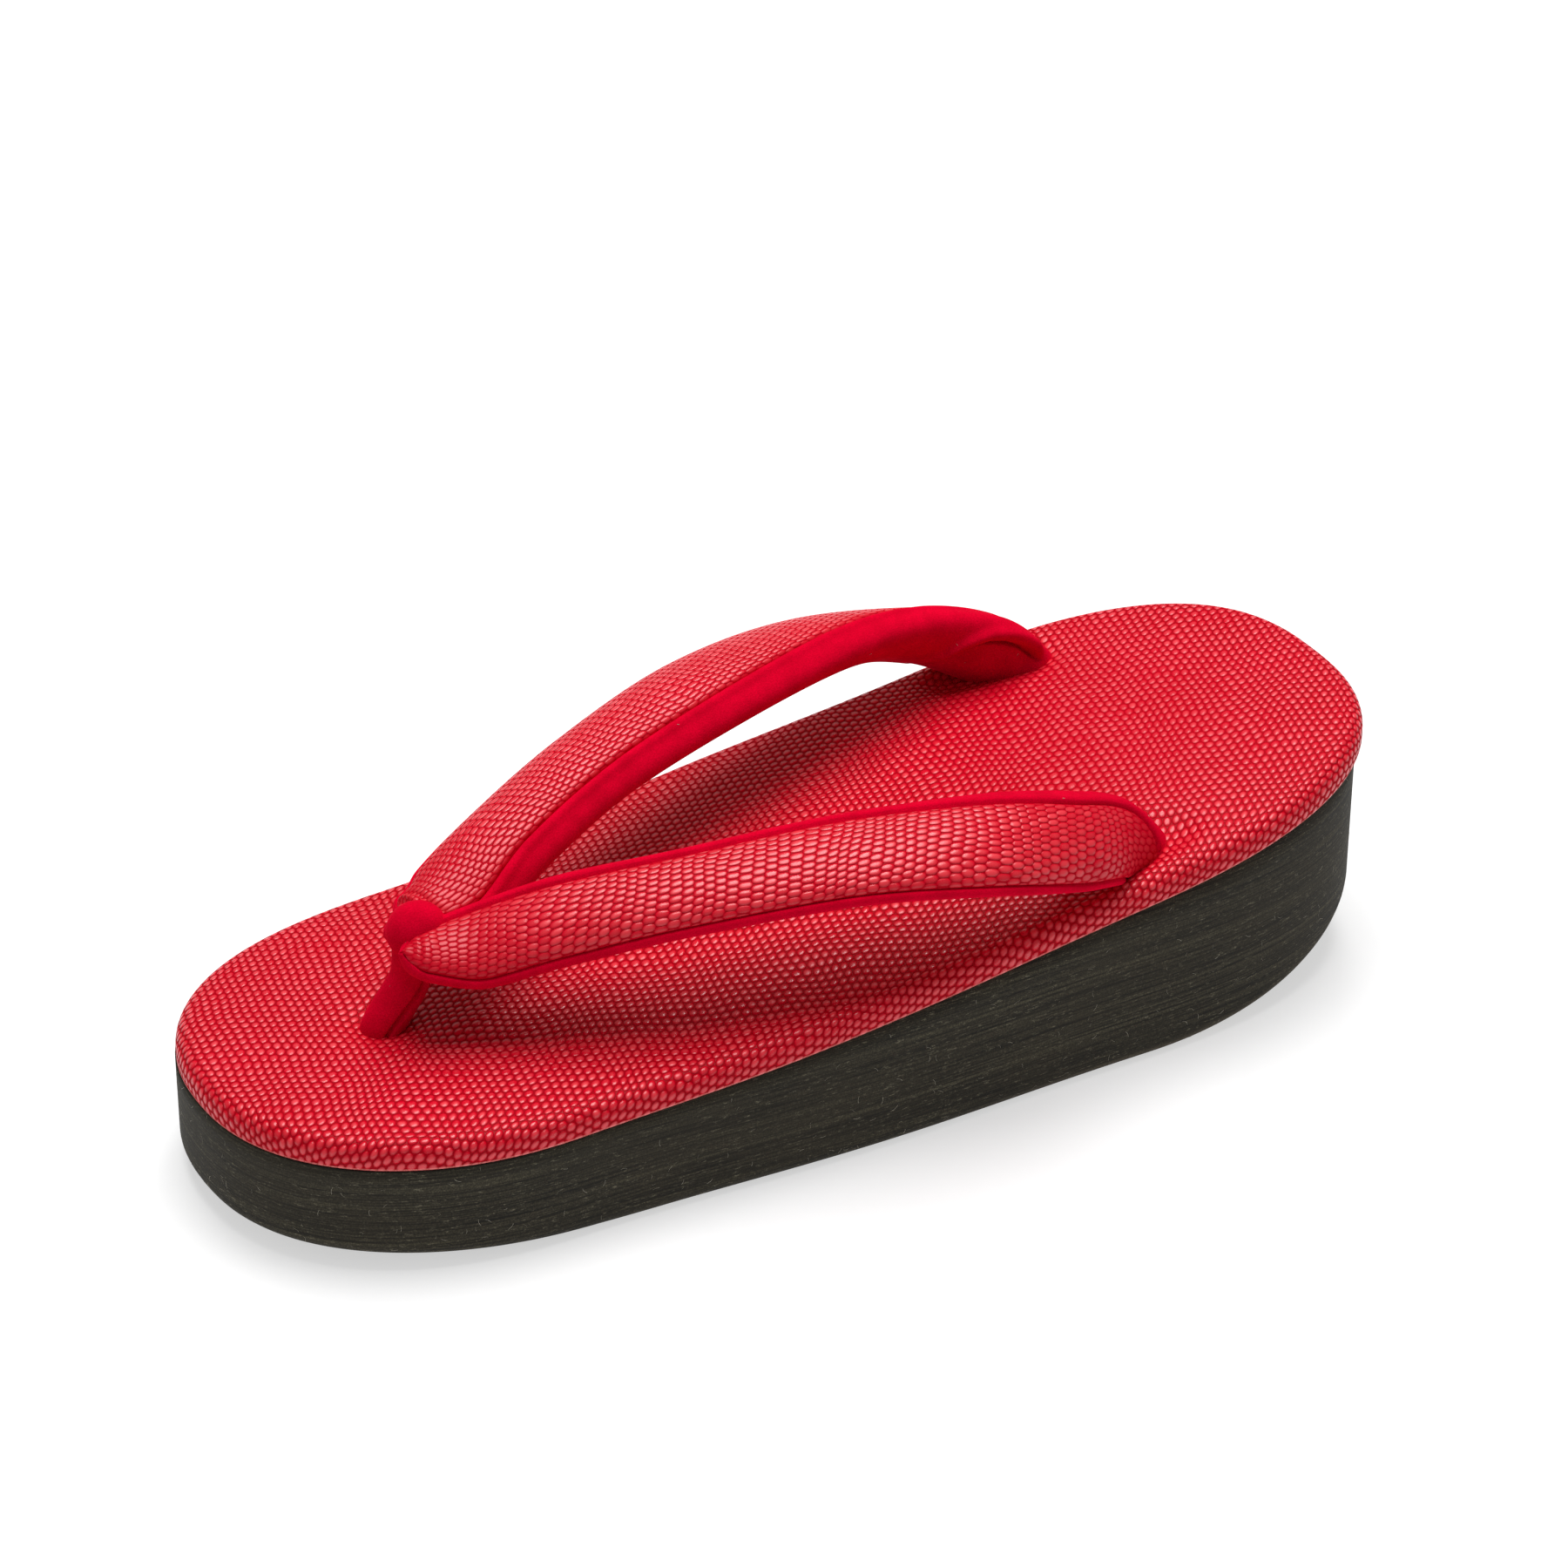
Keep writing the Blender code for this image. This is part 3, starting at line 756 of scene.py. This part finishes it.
def arm_sections(side):
    """The centre of each section of an arm, its two axes, their half sizes and its place in the table."""
    rows = ARM
    knots = np.arange(len(rows), dtype=float)
    at = np.linspace(0, len(rows) - 1, (len(rows) - 1) * ARM_STEPS + 1)
    table = {name: smooth(knots, column(rows, name), at) for name in rows[0]}
    tip = ARMS_FROM_TOE - LENGTH / 2
    anchor = LENGTH / 2 - ANCHOR_FROM_HEEL[side]
    y = tip + (anchor - tip) * table["left_back" if side > 0 else "right_back"]
    centre = np.stack([side * STRAP_SPREAD * table["out"], y, rim_height(y) + STRAP_RISE * table["up"]], 1)
    along = np.gradient(centre, axis=0)
    along /= np.linalg.norm(along, axis=1, keepdims=True)
    upward = np.array([0, 0, 1]) - along[:, 2:] * along
    upward /= np.linalg.norm(upward, axis=1, keepdims=True)
    outward = side * np.cross(along, upward)
    roll = np.radians(table["left_roll" if side > 0 else "right_roll"])[:, None]
    inner = np.sin(roll) * upward - np.cos(roll) * outward
    face = np.cos(roll) * upward + np.sin(roll) * outward
    return at, centre, inner, face, STRAP_WIDTH / 2 * table["width"], STRAP_THICKNESS / 2 * table["thick"]


def arm_surface(side, turn, rise):
    """Points of an arm at the given angles of each section, raised outwards by rise."""
    _, centre, inner, face, half_wide, half_thick = arm_sections(side)
    cosine, sine = np.cos(turn), np.sin(turn)
    across = cosine * half_thick[:, None]
    upright = sine * half_wide[:, None]
    steep = np.hypot(across, upright)
    wide = cosine * half_wide[:, None] + rise * across / steep
    thick = sine * half_thick[:, None] + rise * upright / steep
    points = centre[:, None] + wide[..., None] * inner[:, None] + thick[..., None] * face[:, None]
    points[..., 0] = side * np.maximum(side * points[..., 0], GAP / 2)
    points[..., 2] = np.maximum(points[..., 2], rim_height(points[..., 1]) + 2 * GAP)
    return points


def leather_span(at):
    """The angles between which the leather lies: a point in front and a round tongue behind."""
    middle = (INNER_SEAM + OUTER_SEAM) / 2
    front = np.clip((at - LEATHER_START) / LEATHER_OPENING, 0, 1) ** 0.5
    behind = np.clip((at - LEATHER_END + LEATHER_ROUND) / LEATHER_ROUND, 0, 1)
    opening = np.maximum(front * np.sqrt(1 - behind**2), 0.0)
    return middle + (INNER_SEAM - middle) * opening, middle + (OUTER_SEAM - middle) * opening


def distance_round(turn, seam, half_wide, half_thick):
    """The way along a section from an angle to a seam, both in degrees, about right near the seam."""
    step = np.radians(turn - seam)
    middle = np.radians((turn + seam) / 2)
    return step * np.hypot(np.sin(middle) * half_wide, np.cos(middle) * half_thick)


def folded_in(at, turn, wide, thick):
    """How far the velvet stands out round the fold under an arm's rear end, where it tucks in."""
    under = (turn + 270) % 360 - 270
    crease = np.interp(at, column(FOLD, "at"), column(FOLD, "turn"))[:, None]
    past = distance_round(under, crease, wide, thick)
    begun = np.clip((at - FOLD[0]["at"]) / FOLD_EASE["start"], 0, 1)
    shown = begun * np.clip((FOLD[-1]["at"] - at) / FOLD_EASE["end"], 0, 1)
    groove = -np.exp(-((past / FOLD_GROOVE) ** 2))
    roll = FOLD_ROLL["share"] * np.exp(-(((past - FOLD_ROLL["away"]) / FOLD_ROLL["width"]) ** 2))
    hollow = np.exp(past / FOLD_HOLLOW["long"]) * (1 - np.exp(past / FOLD_HOLLOW["start"]))
    hollow = np.where(past < 0, -FOLD_HOLLOW["share"] * hollow, 0)
    return FOLD_DEPTH * shown[:, None] * (groove + roll + hollow)


def arm_lining(side):
    """The velvet of an arm, sunk under the leather, with piping beside the seams and a fold at the rear."""
    at, _, _, _, half_wide, half_thick = arm_sections(side)
    inner, outer = leather_span(at)
    turn = np.broadcast_to(np.linspace(-97.5, 262.5, ARM_POINTS, endpoint=False), (len(at), ARM_POINTS))
    wide, thick = half_wide[:, None], half_thick[:, None]
    past_inner = distance_round(turn, inner[:, None], wide, thick)
    past_outer = -distance_round(turn, outer[:, None], wide, thick)
    inside = np.minimum(past_inner, past_outer)
    sunk = np.clip(0.5 + inside / SEAM_SOFTNESS, 0, 1)
    size = np.clip(half_wide / FULL_HALF_WIDTH, 0, 1)[:, None]
    rise = -LEATHER_SINK * sunk * size
    rise = rise + PIPING_RISE * size * np.exp(-(((inside + PIPING_FROM_SEAM) / PIPING_WIDTH) ** 2))
    rise = rise + folded_in(at, turn, wide, thick)
    rise = rise - TIP_SHRINK * np.clip(1 - at / TIP_LENGTH, 0, 1)[:, None]
    return arm_surface(side, np.radians(turn), rise)


def strap_neck():
    """The strap's narrow middle, which the loop holds."""
    x = np.linspace(-NECK["reach"], NECK["reach"], NECK_RINGS)
    turn = np.linspace(0, 2 * math.pi, NECK_POINTS, endpoint=False)
    y = CAP_FROM_TOE - LENGTH / 2 - NECK["ahead"] + NECK["half"] * np.cos(turn)
    z = CAP_HEIGHT - NECK["below"] + NECK["half"] * np.sin(turn)
    return [np.column_stack([np.full_like(y, place), y, z]) for place in x]


def make_strap_velvet(finish):
    """The V's velvet: two stuffed arms and the narrow middle between them."""
    bodies = [skin(arm_lining(1)), skin(arm_lining(-1)), skin(strap_neck())]
    points, faces = joined(bodies)
    return made("Strap_velvet", points, faces, finish, {"side": np.ones(len(points))})


def front_creases(at, share, side):
    """Creases across the leather where an arm is bent in at the loop: deeper on the wearer's right."""
    slant = at[:, None] + CREASE_SLANT * (share - 0.5)
    depths = [row["deep"] * np.exp(-(((slant - row["at"]) / row["width"]) ** 2)) for row in CREASES]
    return -CREASE_DEPTH[side] * sum(depths)


def make_strap_leather(side, finish):
    """The leather-cloth over one arm: a thin strip with its edges turned down into the seams."""
    at, _, _, _, half_wide, half_thick = arm_sections(side)
    inner, outer = leather_span(at)
    keep = (at >= LEATHER_START) & (at <= LEATHER_END)
    share = (1 - np.cos(np.linspace(0, math.pi, LEATHER_POINTS))) / 2
    turn = inner[:, None] + (outer - inner)[:, None] * share
    wide, thick = half_wide[:, None], half_thick[:, None]
    past_inner = distance_round(turn, inner[:, None], wide, thick)
    past_outer = -distance_round(turn, outer[:, None], wide, thick)
    inside = np.maximum(np.minimum(past_inner, past_outer), 0)
    size = np.clip(half_wide / FULL_HALF_WIDTH, 0, 1)[:, None]
    edge = np.clip(inside / LEATHER_EDGE_WIDTH, 0, 1)
    above = size * (LEATHER_OVER - LEATHER_EDGE * (1 - np.sqrt(edge * (2 - edge))))
    above = above + front_creases(at, share, side) * np.clip(inside / (2 * MM), 0, 1)
    over = arm_surface(side, np.radians(turn), above)
    under = arm_surface(side, np.radians(turn), np.full_like(turn, -LEATHER_UNDER) * size)
    rings = np.concatenate([over, under[:, ::-1]], 1)[keep]
    points, faces = skin(rings)
    front = np.clip(1 - at / STRAP_FRONT, 0, 1)
    closer = 1 + FRONT_CLOSER * front
    along = np.linalg.norm(np.diff(over[:, LEATHER_POINTS // 2], axis=0), axis=1) * closer[1:]
    along = np.concatenate([[0], np.cumsum(along)])[keep]
    middle = (INNER_SEAM + OUTER_SEAM) / 2
    across = (distance_round(turn, middle, wide, thick) * closer[:, None])[keep] * ROWS_CLOSER[side]
    flat = np.stack([np.broadcast_to(along[:, None], across.shape), across], -1)
    flat = np.concatenate([flat, flat[:, ::-1]], 1)
    flat = np.concatenate([flat.reshape(-1, 2), flat[0].mean(0)[None], flat[-1].mean(0)[None]])
    least = SEAM_RELIEF["least"]
    relief = least + (1 - least) * np.clip(inside[keep] / SEAM_RELIEF["width"], 0, 1)
    rear = np.clip((at[keep] - REAR_FLATTER["from"]) / REAR_FLATTER["long"], 0, 1)
    relief = relief * (1 - REAR_FLATTER["less"] * rear)[:, None]
    relief = relief * (1 - FRONT_FLATTER * np.sqrt(front[keep]))[:, None]
    relief = np.concatenate([relief, relief[:, ::-1]], 1)
    relief = np.concatenate([relief.ravel(), [0.5, 0.5]])
    name = "Strap_leather_left" if side > 0 else "Strap_leather_right"
    attributes = {"relief": relief, "cut": np.zeros(len(points))}
    return made(name, points, faces, finish, attributes, flat / MM)


# Toe loop


def make_toe_loop(finish):
    """A velvet tube that leans back out of its hole and closes in a round cap over the strap's neck."""
    at = np.linspace(0, len(LOOP) - 1, LOOP_RINGS)
    path = {name: smooth(np.arange(len(LOOP), dtype=float), column(LOOP, name), at) for name in LOOP[0]}
    centre = np.stack([np.zeros_like(at), path["from_toe"] - LENGTH / 2, path["height"]], 1)
    along = np.gradient(centre, axis=0)
    along /= np.linalg.norm(along, axis=1, keepdims=True)
    forward = np.stack([np.zeros_like(at), -along[:, 2], along[:, 1]], 1)
    turn = np.linspace(0, 2 * math.pi, LOOP_POINTS, endpoint=False)[:, None]
    sideways = np.array([1.0, 0, 0])
    tube = [
        middle + half * (np.cos(turn) * sideways + np.sin(turn) * ahead)
        for middle, half, ahead in zip(centre, path["half"], forward)
    ]
    cap_centre = np.array([0, CAP_FROM_TOE - LENGTH / 2, CAP_HEIGHT])
    cap_half = np.array([CAP_HALF["x"], CAP_HALF["y"], CAP_HALF["z"]])
    cap = []
    for lift in np.radians(np.linspace(-86, 86, CAP_RINGS)):
        level = np.full_like(turn, math.sin(lift))
        ring = np.concatenate([np.cos(turn) * math.cos(lift), np.sin(turn) * math.cos(lift), level], 1)
        cap.append(cap_centre + cap_half * ring)
    obj = made("Toe_loop", *joined([skin(tube), skin(cap)]), finish)
    remesh = obj.modifiers.new("even", "REMESH")
    remesh.mode = "VOXEL"
    remesh.voxel_size = LOOP_VOXEL
    remesh.use_smooth_shade = True
    soften = obj.modifiers.new("soften", "SMOOTH")
    soften.iterations = LOOP_SOFTENING
    applied(obj)
    press_seam(obj, centre, forward)
    return obj


def press_seam(obj, centre, forward):
    """Presses the seam into the loop's tube: a groove that winds up it, with a low fold beside it."""
    points = np.empty(len(obj.data.vertices) * 3, np.float32)
    obj.data.vertices.foreach_get("co", points)
    points = points.reshape(-1, 3)
    gaps = np.linalg.norm(points[:, None, 1:] - centre[None, :, 1:], axis=2)
    nearest = gaps.argmin(1)
    out = points - centre[nearest]
    ahead = (out * forward[nearest]).sum(1)
    radius = np.hypot(out[:, 0], ahead)
    climb = np.clip((points[:, 2] - LOOP_SEAM["from"]) / LOOP_SEAM["rise"], 0, 1)
    seam = np.radians(LOOP_SEAM["bottom"] + (LOOP_SEAM["top"] - LOOP_SEAM["bottom"]) * climb)
    arc = (np.arctan2(ahead, out[:, 0]) - seam) * radius
    shown = np.clip((LOOP_SEAM["to"] - points[:, 2]) / LOOP_SEAM["fade"], 0, 1)
    groove = LOOP_GROOVE["deep"] * np.exp(-((arc / LOOP_GROOVE["width"]) ** 2))
    fold = LOOP_FOLD["high"] * np.exp(-(((arc + LOOP_FOLD["away"]) / LOOP_FOLD["width"]) ** 2))
    outward = (out[:, :1] * np.array([1.0, 0, 0]) + ahead[:, None] * forward[nearest]) / radius[:, None]
    points = points - outward * ((groove - fold) * shown)[:, None]
    obj.data.vertices.foreach_set("co", points.astype(np.float32).ravel())
    obj.data.update()
    side = obj.data.attributes.new("side", "FLOAT", "POINT")
    side.data.foreach_set("value", np.ones(len(points), np.float32))


# Lint


def lint_tree():
    """Geometry Nodes that lay short bent hairs over a surface, where its attribute "side" allows them."""
    tree = bpy.data.node_groups.new("lint on a surface", "GeometryNodeTree")
    tree.interface.new_socket("Geometry", in_out="INPUT", socket_type="NodeSocketGeometry")
    inputs = (("Hairs per square metre", "Float"), ("Hair length", "Float"), ("Hair thickness", "Float"),
              ("Seed", "Int"), ("Finish", "Material"))
    for name, kind in inputs:
        tree.interface.new_socket(name, in_out="INPUT", socket_type="NodeSocket" + kind)
    tree.interface.new_socket("Geometry", in_out="OUTPUT", socket_type="NodeSocketGeometry")

    def node(kind, settings=None, links=None):
        made_node = tree.nodes.new(kind)
        for name, value in (settings or {}).items():
            setattr(made_node, name, value)
        for key, value in (links or {}).items():
            if isinstance(value, bpy.types.NodeSocket):
                tree.links.new(value, made_node.inputs[key])
            else:
                made_node.inputs[key].default_value = value
        return made_node

    start = node("NodeGroupInput")
    asked = {socket.name: socket for socket in start.outputs}
    allowed = node("GeometryNodeInputNamedAttribute", None, {"Name": "side"}).outputs["Attribute"]
    most = asked["Hairs per square metre"]
    density = node("ShaderNodeMath", {"operation": "MULTIPLY"}, {0: allowed, 1: most})
    spots = node("GeometryNodeDistributePointsOnFaces", None, {
        "Mesh": asked["Geometry"], "Density": density.outputs[0], "Seed": asked["Seed"],
    })
    half = node("ShaderNodeMath", {"operation": "MULTIPLY"}, {0: asked["Hair length"], 1: 0.5}).outputs[0]
    back = node("ShaderNodeMath", {"operation": "MULTIPLY"}, {0: half, 1: -1.0}).outputs[0]
    first = node("ShaderNodeCombineXYZ", None, {0: back}).outputs[0]
    sag = node("ShaderNodeMath", {"operation": "MULTIPLY"}, {0: half, 1: 0.45}).outputs[0]
    bow = node("ShaderNodeCombineXYZ", None, {1: sag, 2: asked["Hair thickness"]}).outputs[0]
    last = node("ShaderNodeCombineXYZ", None, {0: half}).outputs[0]
    curve = node("GeometryNodeCurveQuadraticBezier", None, {
        "Resolution": 6, "Start": first, "Middle": bow, "End": last,
    })
    rim = node("GeometryNodeCurvePrimitiveCircle", None, {
        "Resolution": 3, "Radius": asked["Hair thickness"],
    })
    hair = node("GeometryNodeCurveToMesh", None, {
        "Curve": curve.outputs[0], "Profile Curve": rim.outputs[0], "Fill Caps": True,
    })
    size = node("FunctionNodeRandomValue", {"data_type": "FLOAT"}, {2: 0.35, 3: 1.0, "Seed": asked["Seed"]})
    laid = node("GeometryNodeInstanceOnPoints", None, {
        "Points": spots.outputs["Points"], "Instance": hair.outputs[0],
        "Rotation": spots.outputs["Rotation"], "Scale": size.outputs[1],
    })
    spin = node("FunctionNodeRandomValue", {"data_type": "FLOAT_VECTOR"}, {
        0: (0, 0, 0), 1: (0, 0, 2 * math.pi), "Seed": asked["Seed"],
    })
    turned = node("GeometryNodeRotateInstances", None, {
        "Instances": laid.outputs[0], "Rotation": spin.outputs[0], "Local Space": True,
    })
    real = node("GeometryNodeRealizeInstances", None, {"Geometry": turned.outputs[0]})
    dressed = node("GeometryNodeSetMaterial", None, {
        "Geometry": real.outputs[0], "Material": asked["Finish"],
    })
    end = node("NodeGroupOutput")
    tree.links.new(dressed.outputs[0], end.inputs[0])
    return tree


def make_lint(name, surface, tree, finish, per_square_metre, length, thickness, seed):
    """Hairs over a finished piece, as a plain mesh of their own."""
    obj = bpy.data.objects.new(name, surface.data.copy())
    bpy.context.scene.collection.objects.link(obj)
    modifier = obj.modifiers.new("lint", "NODES")
    modifier.node_group = tree
    wanted = {
        "Hairs per square metre": per_square_metre, "Hair length": length,
        "Hair thickness": thickness, "Seed": seed, "Finish": finish.material,
    }
    for item in tree.interface.items_tree:
        if item.in_out == "INPUT" and item.name in wanted:
            modifier[item.identifier] = wanted[item.name]
    return applied(obj)


def main():
    add_camera()
    add_studio()
    top_cloth = embossed("embossed leather-cloth, top", TOP_CELLS)
    strap_cloth = embossed("embossed leather-cloth, strap", STRAP_CELLS)
    crimson = velvet()
    sole = finished(make_sole(foam()), "sole_foam", "sole")
    top = finished(make_padded_top(top_cloth), "top_leather", "padded_top")
    strap = finished(make_strap_velvet(crimson), "strap_velvet", "strap_lining")
    finished(make_strap_leather(1, strap_cloth), "strap_leather", "strap_face_left")
    finished(make_strap_leather(-1, strap_cloth), "strap_leather", "strap_face_right")
    loop = finished(make_toe_loop(crimson), "loop_velvet", "toe_loop")
    tree = lint_tree()
    fluff = lint()
    for name, surface, slot, per_square_metre, length, thickness, seed in (
        ("Lint_on_sole", sole, "sole_foam", 42000, 1.5 * MM, 0.03 * MM, 5),
        ("Lint_on_strap", strap, "strap_velvet", 1100, 0.8 * MM, 0.05 * MM, 8),
        ("Lint_on_loop", loop, "loop_velvet", 9000, 0.6 * MM, 0.05 * MM, 3),
    ):
        finished(make_lint(name, surface, tree, fluff, per_square_metre, length, thickness, seed), slot)


main()
